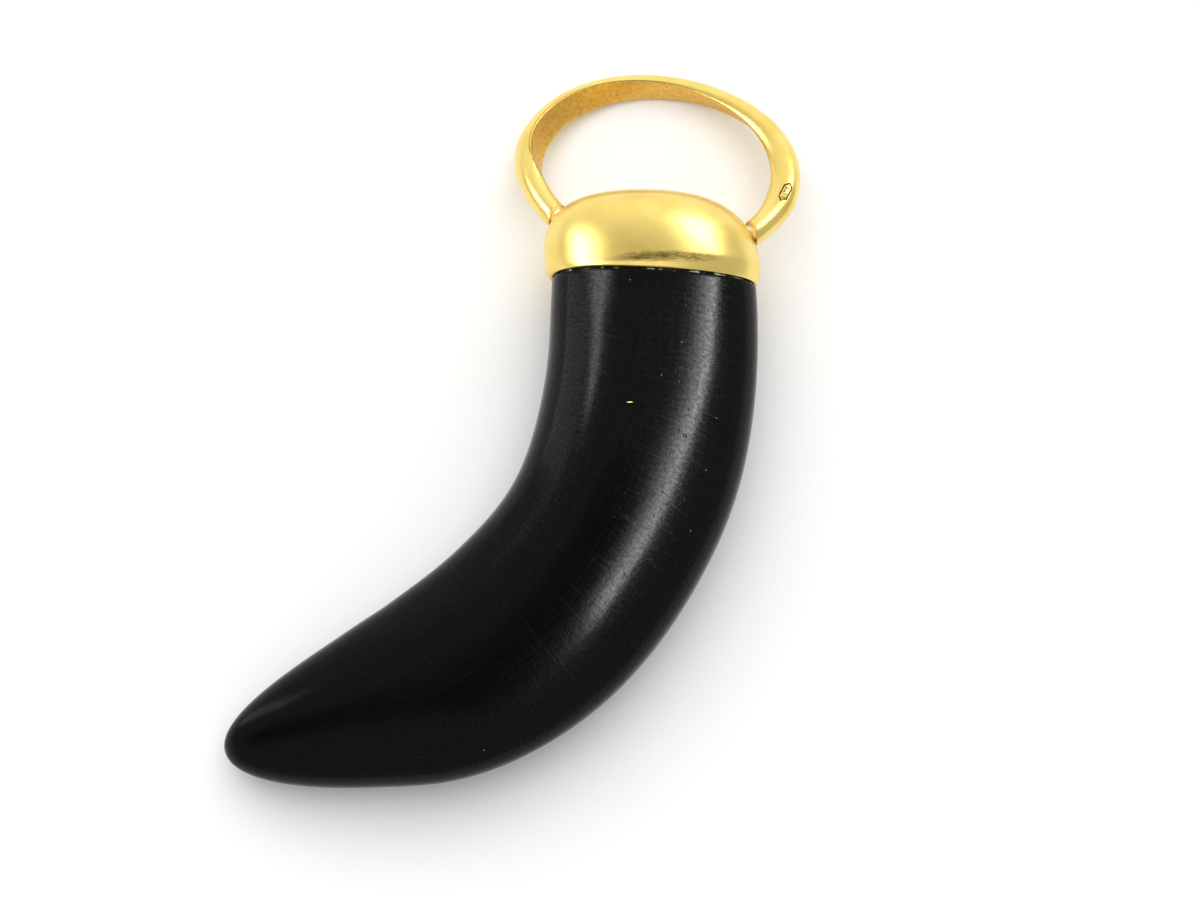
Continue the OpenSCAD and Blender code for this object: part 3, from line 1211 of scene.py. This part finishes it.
@dataclass
class CementBead:
    """The old cement between the horn's shoulder and the cap's lip, showing in a few crumbs.

    Sizes in mm. The rows of waves give the pace and start of the ripples on it, and the rows of crumbs
    each one's place across, its height, and its width in degrees.
    """

    radius: float = 0.10
    ripple: float = 0.2
    waves: Sequence[Pair] = ((0.31, 0.0), (0.173, 1.0))
    crumbs: Sequence[Triple] = (
        (-0.86, 0.13, 3.5),
        (-0.80, 0.14, 2.5),
        (-0.50, 0.13, 1.6),
        (0.16, 0.26, 3.2),
        (0.22, 0.16, 2.0),
        (0.45, 0.17, 2.6),
        (0.62, 0.12, 2.0),
    )
    below: float = 0.12
    inset: float = 0.16
    squash: Pair = (0.6, 0.8)
    sides: int = 10
    steps: int = 360
    sharp_angle: float = 80.0
    face_corners: int = 4
    weld: float = 1e-7
    finish: SettingCement = SettingCement()

    def thickness(self, turn: float, oval: Oval) -> float:
        """Work out the bead's radius.

        Args:
            turn: Where round the horn, in degrees.
            oval: The horn's section.

        Returns:
            The radius there.
        """
        wave = math.prod(math.sin(turn * pace + start) for pace, start in self.waves)
        radius = self.radius * (1 - self.ripple + self.ripple * wave)
        for across, height, width in self.crumbs:
            away = (turn - math.degrees(oval.turn_at(across)) + 180) % 360 - 180
            radius += height * math.exp(-((away / width) ** 2))
        return radius

    def build(self, horn: Horn) -> Piece:
        """Build the bead round the horn's shoulder.

        Args:
            horn: The horn that it lies on.

        Returns:
            The dressed bead.
        """
        down, out = self.squash
        rings = []
        for step in range(self.sides):
            turn = math.tau * step / self.sides
            ring = []
            for i in range(self.steps):
                degrees = 360 * i / self.steps
                x, y = horn.oval.point(math.radians(degrees))
                radius = self.thickness(degrees, horn.oval)
                inset = self.inset - radius * math.sin(turn) * out
                ring.append(horn.skin_point(self.below + radius * math.cos(turn) * down, x, y, inset))
            rings.append(ring)
        rings = placed([*rings, rings[0]], LYING.pendant)
        piece = Loft("cement_bead", rings, smoothing=0, sharp_angle=self.sharp_angle).build()
        self.join_ends(piece)
        piece.data.materials.append(self.finish.make())
        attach(piece, Body.PENDANT.value)
        return piece

    def join_ends(self, piece: Piece) -> None:
        """Take the end faces out and join the bead's first and last rings.

        Args:
            piece: The bead.
        """
        make_active(piece)
        bpy.ops.object.mode_set(mode="EDIT")
        mesh = bmesh.from_edit_mesh(piece.data)
        for face in mesh.faces:
            face.select_set(len(face.verts) > self.face_corners)
        bmesh.update_edit_mesh(piece.data)
        bpy.ops.mesh.delete(type="FACE")
        bpy.ops.mesh.select_all(action="SELECT")
        bpy.ops.mesh.remove_doubles(threshold=self.weld)
        bpy.ops.mesh.normals_make_consistent(inside=False)
        bpy.ops.object.mode_set(mode="OBJECT")


@dataclass
class Bail:
    """The large oval gold bail: round at its cut ends, flat inside elsewhere, twisted at its sides.

    Sizes in mm and degrees. Pairs named by the side give the left one first.
    """

    width: float = 29.2
    height: float = 23.7
    rise: float = 7.3
    turn: float = 7.0
    end_d: float = 2.9
    side_t: float = 2.8
    top_t: float = 1.9
    side_w: float = 3.4
    top_w: float = 3.0
    twist: float = 40.0
    top_turn: float = 3.0
    side_change: Pair = (50.0, 30.0)
    side_untwist: Pair = (62.0, 30.0)
    flat: float = 0.3
    corner: float = 0.15
    inner_blur: float = 0.12
    inner_start: float = 3.0
    edge: float = 0.06
    edge_round: Pair = (0.3, 0.5)
    side_cuts: tuple[Triple, Triple] = ((0.335, 0.328, 0.243), (0.455, 0.473, 0.195))
    cut_crown: float = 0.1
    cut_insets: Pair = (0.4, 0.15)
    pin_d: float = 1.4
    pin_reach: float = 3.0
    pin_face: Pair = (0.3, 0.6)
    pin_chamfer: float = 0.1
    pin_fillet: float = 0.05
    # Shares of painted light on the pin and cut-end rings.
    pin_painted_light: Sequence[float] = (1.0,) * 8 + (0.3, 0.0)
    stamp_start: Pair = (99.62, 47.4)
    stamp_end: Pair = (89.13, 28.1)
    stamp_middle: Pair = (94.19, 38.2)
    stamp_steps: Pair = (1.0, 1.15)
    sides: int = 48
    sections: int = 150
    finish: BailGold = BailGold()

    @property
    def lean(self) -> float:
        """Where on the oval the middle between its ends is, in degrees."""
        turn = math.radians(self.turn)
        return -math.degrees(math.atan2(self.width / 2 * math.sin(turn), self.height / 2 * math.cos(turn)))

    @property
    def reach(self) -> float:
        """How far the wire reaches to each side of that middle, in degrees."""
        turn = math.radians(self.turn)
        span = math.hypot(self.width / 2 * math.sin(turn), self.height / 2 * math.cos(turn))
        return math.degrees(math.acos(-self.rise / span))

    def turned(self, x: float, y: float) -> Vector:
        """Turn a point of the oval in its plane."""
        cos, sin = math.cos(math.radians(self.turn)), math.sin(math.radians(self.turn))
        return Vector((x * cos + y * sin, y * cos - x * sin, 0.0))

    def middle(self, angle: float) -> Vector:
        """Find the middle of the wire.

        Args:
            angle: Where on the oval, in degrees.

        Returns:
            The point in the bail's own frame.
        """
        turn = math.radians(angle)
        place = self.turned(self.width / 2 * math.sin(turn), self.height / 2 * math.cos(turn))
        return place + Vector((0.0, self.rise, 0.0))

    def outward(self, angle: float) -> Vector:
        """Direction outwards from the wire at an angle."""
        turn = math.radians(angle)
        return self.turned(self.height * math.sin(turn), self.width * math.cos(turn)).normalized()

    def side(self, angle: float) -> int:
        """Which side of the bail an angle is on: 0 for the left one, 1 for the right one."""
        return 0 if angle < self.lean else 1

    def cut(self, angle: float, turn: float, share: float) -> Vector:
        """Work out how far a cut end reaches on along the wire.

        It follows the dome, and clears it all through the swing.

        Args:
            angle: The cut's place on the oval.
            turn: Angle round the wire, in radians from its outer side.
            share: Distance from the wire's middle, as a share of its radius.

        Returns:
            The reach beyond the square cut.
        """
        side = self.side(angle)
        level, tilt, saddle = self.side_cuts[side]
        crown = self.cut_crown * (1 - share)
        reach = level + crown + share * (tilt * math.cos(turn) + saddle * math.cos(2 * turn))
        out = self.outward(angle)
        onward = Vector((out.y, -out.x, 0.0)) if side else Vector((-out.y, out.x, 0.0))
        return onward * reach

    def section(self, angle: float, inset: float = 0.0) -> tuple[Ring, list[float]]:
        """Work out a section of the wire.

        Args:
            angle: Where on the oval, in degrees.
            inset: How far the section lies inside its full size.

        Returns:
            Its points, and for each how much it belongs to the flat inner face.
        """
        from_end = self.reach - abs(angle - self.lean)
        flatness = ease(from_end / self.side_change[self.side(angle)])
        twisted = ease(from_end / self.side_untwist[self.side(angle)])
        share = math.sin(math.radians(angle)) ** 2
        t = blend(self.end_d, blend(self.top_t, self.side_t, share), flatness) - 2 * inset
        w = blend(self.end_d, blend(self.top_w, self.side_w, share), flatness) - 2 * inset
        flat, soft = blend(1.0, self.flat, flatness), self.corner * flatness
        twist = math.radians((self.top_turn + self.twist * math.sin(math.radians(angle))) * twisted)
        centre, out = self.middle(angle), self.outward(angle)
        inner_share = min(self.inner_start * flatness, 1.0)
        ring, inner = [], []
        for cos, sin in self.circle():
            deep = ((cos - flat) + math.sqrt((cos + flat) ** 2 + soft**2)) / 2
            x, y = deep * t / (1 + flat), sin * w / 2
            r, z = x * math.cos(twist) - y * math.sin(twist), x * math.sin(twist) + y * math.cos(twist)
            ring.append(centre + out * r + Vector((0.0, 0.0, z)))
            inner.append(ease((-flat - cos) / self.inner_blur + 0.5) * inner_share)
        return ring, inner

    def pin(self, angle: float) -> list[Ring]:
        """Work out the rings of a pin and of the cut end that it stands in.

        Args:
            angle: The cut's place on the oval.

        Returns:
            The rings from the pin's tip to the cut's edge.
        """
        end, out = self.middle(angle), self.outward(angle)
        inward = 1.0 if end.x < 0 else -1.0
        lean = out.x / out.y
        facing = math.copysign(1.0, out.y)
        tip, radius = self.pin_reach, self.pin_d / 2
        core, rim = self.pin_face
        rings = []
        for reach, r in ((tip, core), (tip, rim), (tip - self.pin_chamfer, radius), (tip / 2, radius)):
            rings.append([end + Vector((inward * reach, c * r * facing, s * r)) for c, s in self.circle()])
        for r, lift in ((radius, self.pin_fillet), (radius + self.pin_fillet, 0.0)):
            ring = []
            for c, s in self.circle():
                up = c * r * facing
                foot = end + Vector((inward * lift + up * lean, up, s * r))
                ring.append(foot + self.cut(angle, math.atan2(s, c), 2 * r / self.end_d))
            rings.append(ring)
        flat_rings = [(inset, 0.0) for inset in (*self.cut_insets, self.edge)]
        last_inset, last_back = (self.edge * share for share in self.edge_round)
        for inset, back in (*flat_rings, (last_inset, last_back)):
            ring, _ = self.section(angle, inset)
            share = 1 - 2 * inset / self.end_d
            reaches = [self.cut(angle, math.atan2(s, c), share) for c, s in self.circle()]
            rings.append([point + reach * (1 - back) for point, reach in zip(ring, reaches)])
        return rings

    def circle(self) -> list[Pair]:
        """Cosine and sine of the section's angles."""
        turns = [math.tau * i / self.sides - math.pi / 2 for i in range(self.sides)]
        return [(math.cos(turn), math.sin(turn)) for turn in turns]

    def rings(self) -> tuple[list[Ring], list[list[float]]]:
        """Work out all rings of the bail, from pin to pin.

        Returns:
            The rings, and each point's share in the inner face.
        """
        first, last = self.lean - self.reach, self.lean + self.reach
        angles = [blend(first, last, i / self.sections) for i in range(self.sections + 1)]
        wire, inner = zip(*(self.section(angle) for angle in angles))
        bare = [[0.0] * self.sides for _ in self.pin_painted_light]
        return [*self.pin(first), *wire, *reversed(self.pin(last))], [*bare, *inner, *bare]

    def painted_light_shares(self) -> list[list[float]]:
        """Each point's share in the painted light on the pins and cut ends, a paler gold that lifts the
        shade in the gap at the cap.
        """
        middle = [0.0] * (self.sections + 1)
        return [[share] * self.sides for share in (*self.pin_painted_light, *middle, *reversed(self.pin_painted_light))]

    def stamp_place(self) -> StampPlace:
        """Find where the stamp is struck, a little askew, on the outer side of the wire at the right.

        Returns:
            The stamp's place.
        """
        along = self.surface_point(*self.stamp_end) - self.surface_point(*self.stamp_start)
        angle, turn = self.stamp_middle
        angle_step, turn_step = self.stamp_steps
        here = self.surface_point(angle, turn)
        onward = self.surface_point(angle + angle_step, turn) - here
        round_it = self.surface_point(angle, turn + turn_step) - here
        return StampPlace(here, along, onward.cross(round_it))

    def surface_point(self, angle: float, turn: float) -> Vector:
        """Find a point of the wire's skin.

        Args:
            angle: Where on the oval, in degrees.
            turn: Angle round the wire, in degrees from its outer side.

        Returns:
            The point in mm on the table's frame.
        """
        ring, _ = self.section(angle)
        step = (turn + 90) / 360 * self.sides
        low = int(step) % self.sides
        point = ring[low].lerp(ring[(low + 1) % self.sides], step - int(step))
        return LYING.bail @ point

    def build(self) -> Piece:
        """Build and dress the bail.

        Returns:
            The dressed bail.
        """
        rings, inner = self.rings()
        # The end values carry the painted light on the pins and cut ends.
        values = {"inner": inner, "end": self.painted_light_shares()}
        piece = Loft("bail_wire", placed(rings, LYING.bail), End.POLE, End.POLE, values=values).build()
        self.dress(piece)
        return piece

    def dress(self, piece: Piece) -> None:
        """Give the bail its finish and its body.

        Args:
            piece: The bail.
        """
        piece.data.materials.append(self.finish.make(self.stamp_place()))
        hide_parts("bail")
        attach(piece, Body.BAIL.value)


# The studio


def towards(azimuth: float, elevation: float) -> Vector:
    """Direction from the pendant, with its azimuth from the bail's side round to the right, in degrees."""
    side, up = math.radians(azimuth), math.radians(elevation)
    return Vector((math.cos(up) * math.sin(side), math.cos(up) * math.cos(side), math.sin(up)))


@dataclass(frozen=True)
class SoftBox:
    """A panel of soft light, given by one straight edge seen from the pendant, in degrees.

    It rises from that edge by its breadth, or hangs down from it where the breadth is below 0, and its
    glow falls from the edge to the far side, steeply at first. Its distance is in metres. A box that
    names pieces lights these alone.
    """

    name: str
    start: Pair
    end: Pair
    breadth: float
    glow: float
    far_glow: float = 1.0
    on: tuple[str, ...] = ()
    seen: bool = True
    distance: float = 0.6
    steepness: float = 3.0

    def build(self) -> Piece:
        """Hang the panel, facing the pendant.

        Returns:
            The light.
        """
        start_clean()
        first, last = towards(*self.start) * self.distance, towards(*self.end) * self.distance
        along = (last - first).normalized()
        middle = (first + last) / 2
        away = (middle - along * middle.dot(along)).normalized()
        across = away.cross(along)
        if across.z < 0:
            along, across = -along, -across
        reach = 2 * middle.length * math.tan(math.radians(self.breadth) / 2)
        bpy.ops.object.light_add(type="AREA", location=middle + across * reach / 2)
        box = bpy.context.object
        box.name = self.name
        box.rotation_euler = Matrix((along, across, away)).transposed().to_euler()
        box.data.shape = "RECTANGLE"
        box.data.size, box.data.size_y = (last - first).length, abs(reach)
        box.data.energy = self.glow * math.pi * box.data.size * box.data.size_y
        box.visible_camera = False
        box.visible_glossy = self.seen
        self.fade(box)
        return box

    def fade(self, box: Piece) -> None:
        """Let the glow fall from the given edge to the far side.

        Args:
            box: The light.
        """
        g = Graph(box.data)
        edge, far = (1.0, 0.0) if self.breadth > 0 else (0.0, 1.0)
        left = g.add(Node.FALL, g.add(Node.PARTS, g.add(Node.SPOT)), edge, far)
        steep = g.add(Node.MATH, "POWER", left, self.steepness)
        glow = g.add(Node.FALL, steep, 0.0, 1.0, self.far_glow, 1.0)
        g.add(Node.LIGHT, g.add(Node.GLOW, glow))

    def aim(self, box: Piece, pieces: Sequence[Piece]) -> None:
        """Let the box light only the pieces that it names.

        Args:
            box: The light.
            pieces: All the pieces.
        """
        if self.on:
            lit = bpy.data.collections.new(f"{self.name}_lights")
            for piece in pieces:
                if piece.name in self.on:
                    lit.objects.link(piece)
            box.light_linking.receiver_collection = lit


@dataclass(frozen=True)
class DarkBar:
    """A dark bar of the room that the horn mirrors, from one direction to another, in degrees."""

    start: Pair
    end: Pair
    half_width: float
    blur: Pair = (1.5, 0.5)
    end_blur: float = 0.02

    def mask(self, g: Graph, facing: Socket) -> Socket:
        """Give 1 in the bar and 0 outside it.

        Args:
            g: The room's node tree.
            facing: The socket of the direction that is looked in.

        Returns:
            The share's socket.
        """
        first, last = towards(*self.start), towards(*self.end)
        off = g.add(Node.MEASURE, "DOT_PRODUCT", facing, tuple(first.cross(last).normalized()))
        edge = math.sin(math.radians(self.half_width))
        outer, inner = self.blur
        wide = g.add(Node.FALL, g.add(Node.MATH, "ABSOLUTE", off), edge * outer, edge * inner)
        along = g.add(Node.MEASURE, "DOT_PRODUCT", facing, tuple((first + last).normalized()))
        reach = math.cos(first.angle(last) / 2)
        long = g.add(Node.FALL, along, reach - self.end_blur, reach + self.end_blur)
        return g.add(Node.MATH, "MULTIPLY", wide, long)


@dataclass
class Studio:
    """The pale table, the soft light and the camera, high over the pendant.

    The camera's target and distance, its sensor and its lens are in mm, the table in metres.
    """

    target: Triple = (9.384, -4.104, 7.0)
    camera_height: float = 80.0
    camera_distance: float = 268.8
    lens: float = 72.0
    sensor: float = 36.0
    clip_start: float = 0.01
    table_size: float = 1.6
    table_depth: float = 0.02
    room_light: str = "#fdfbf6"
    backdrop: str = "#f4f4f5"
    front_glow: float = 0.6
    back_glow: float = 1.2
    glow_span: Pair = (0.3, 1.0)
    dark_middle: Pair = (-170.0, 82.0)
    dark_span: Pair = (0.965, 0.985)
    dark_glow: float = 0.02
    boxes: Sequence[SoftBox] = (
        SoftBox("panel_right", (61.0, 36.5), (150.0, 62.5), 20.0, 54.0, 0.0, HORN_PIECES),
        SoftBox("panel_left", (-61.0, 61.8), (-20.0, 61.8), -44.0, 15.0, 0.3, HORN_PIECES, distance=0.12),
        SoftBox("panel_low", (-76.0, 2.0), (-65.5, 2.0), 52.0, 2.4, 1.0, HORN_PIECES, distance=0.5),
        SoftBox("lamp_right", (66.0, 40.0), (38.0, 22.0), 25.0, 7.0, 0.6, GOLD_PIECES),
        SoftBox("lamp_left", (-135.0, 24.0), (-60.0, 24.0), 26.0, 6.0, 0.8, GOLD_PIECES),
        SoftBox("panel_front", (150.0, 60.0), (-150.0, 60.0), -22.0, 1.1, 0.6, GOLD_PIECES),
        SoftBox("fill", (-45.0, 25.0), (45.0, 25.0), 125.0, 1.6, seen=False),
    )
    bars: Sequence[DarkBar] = (
        DarkBar((-105.0, 33.0), (-117.0, 70.0), 5.0),
        DarkBar((-113.0, 70.0), (170.0, 64.0), 5.5),
    )
    card: MattCard = MattCard()

    def build_table(self) -> Piece:
        """Lay the table under the pendant, with a turned-down edge.

        Returns:
            The table.
        """
        start_clean()
        bpy.ops.mesh.primitive_plane_add(size=self.table_size)
        table = bpy.context.object
        table.name = "table"
        bpy.ops.object.mode_set(mode="EDIT")
        bpy.ops.mesh.select_all(action="SELECT")
        bpy.ops.mesh.extrude_region_move(TRANSFORM_OT_translate={"value": (0, 0, -self.table_depth)})
        bpy.ops.mesh.select_all(action="SELECT")
        bpy.ops.mesh.normals_make_consistent(inside=False)
        bpy.ops.object.mode_set(mode="OBJECT")
        table.data.materials.append(self.card.make())
        return table

    def build_room(self) -> None:
        """Set the dim light of the room: pale behind the pendant, dark where the camera stands."""
        world = bpy.data.worlds.new("room")
        bpy.context.scene.world = world
        g = Graph(world)
        facing = g.add(Node.FACING)
        glows = (self.front_glow, self.back_glow)
        glow = g.add(Node.RAMP, g.add(Node.PARTS, facing), *self.glow_span, *glows)
        near = g.add(Node.MEASURE, "DOT_PRODUCT", facing, tuple(towards(*self.dark_middle)))
        dark = g.add(Node.FALL, near, *self.dark_span)
        for bar in self.bars:
            dark = g.add(Node.MATH, "MAXIMUM", dark, bar.mask(g, facing))
        left = g.add(Node.FALL, dark, 0.0, 1.0, 1.0, self.dark_glow)
        glow = g.add(Node.MATH, "MULTIPLY", glow, left)
        dim = g.add(Node.BACKDROP, linear(self.room_light), glow)
        pale = g.add(Node.BACKDROP, linear(self.backdrop), 1.0)
        g.add(Node.WORLD, g.add(Node.EITHER, g.add(Node.SEEN), dim, pale))

    def hang_boxes(self, pieces: Sequence[Piece]) -> None:
        """Hang the softboxes round the pieces."""
        for box in self.boxes:
            box.aim(box.build(), pieces)

    def build_camera(self) -> Piece:
        """Set the camera at the photograph's angle and distance.

        Returns:
            The camera.
        """
        start_clean()
        rise = math.radians(self.camera_height)
        back = Vector((0.0, -math.cos(rise), math.sin(rise))) * self.camera_distance
        place = (Vector(self.target) + back) * MM
        bpy.ops.object.camera_add(location=place, rotation=(math.pi / 2 - rise, 0.0, 0.0))
        camera = bpy.context.object
        camera.name = "camera"
        camera.data.sensor_fit = "HORIZONTAL"
        camera.data.sensor_width = self.sensor
        camera.data.lens = self.lens
        camera.data.clip_start = self.clip_start
        bpy.context.scene.camera = camera
        bpy.context.scene.view_settings.view_transform = "Standard"
        return camera


def report(piece: Piece) -> None:
    """Log a piece with its size in mm and its number of faces."""
    size = ", ".join(f"{side / MM:.1f}" for side in piece.dimensions)
    LOG.info("%s: %s mm, %d faces", piece.name, size, len(piece.data.polygons))


def main() -> None:
    """Build the pendant and its studio."""
    logging.basicConfig(level=logging.INFO, format="%(name)s: %(message)s")
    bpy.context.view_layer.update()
    studio = Studio()
    studio.build_camera()
    studio.build_table()
    studio.build_room()
    horn = Horn()
    pieces = [horn.build(), Cap().build(), CementBead().build(horn), Bail().build()]
    for piece in pieces:
        report(piece)
    studio.hang_boxes(pieces)
    start_clean()


if __name__ == "__main__":
    main()
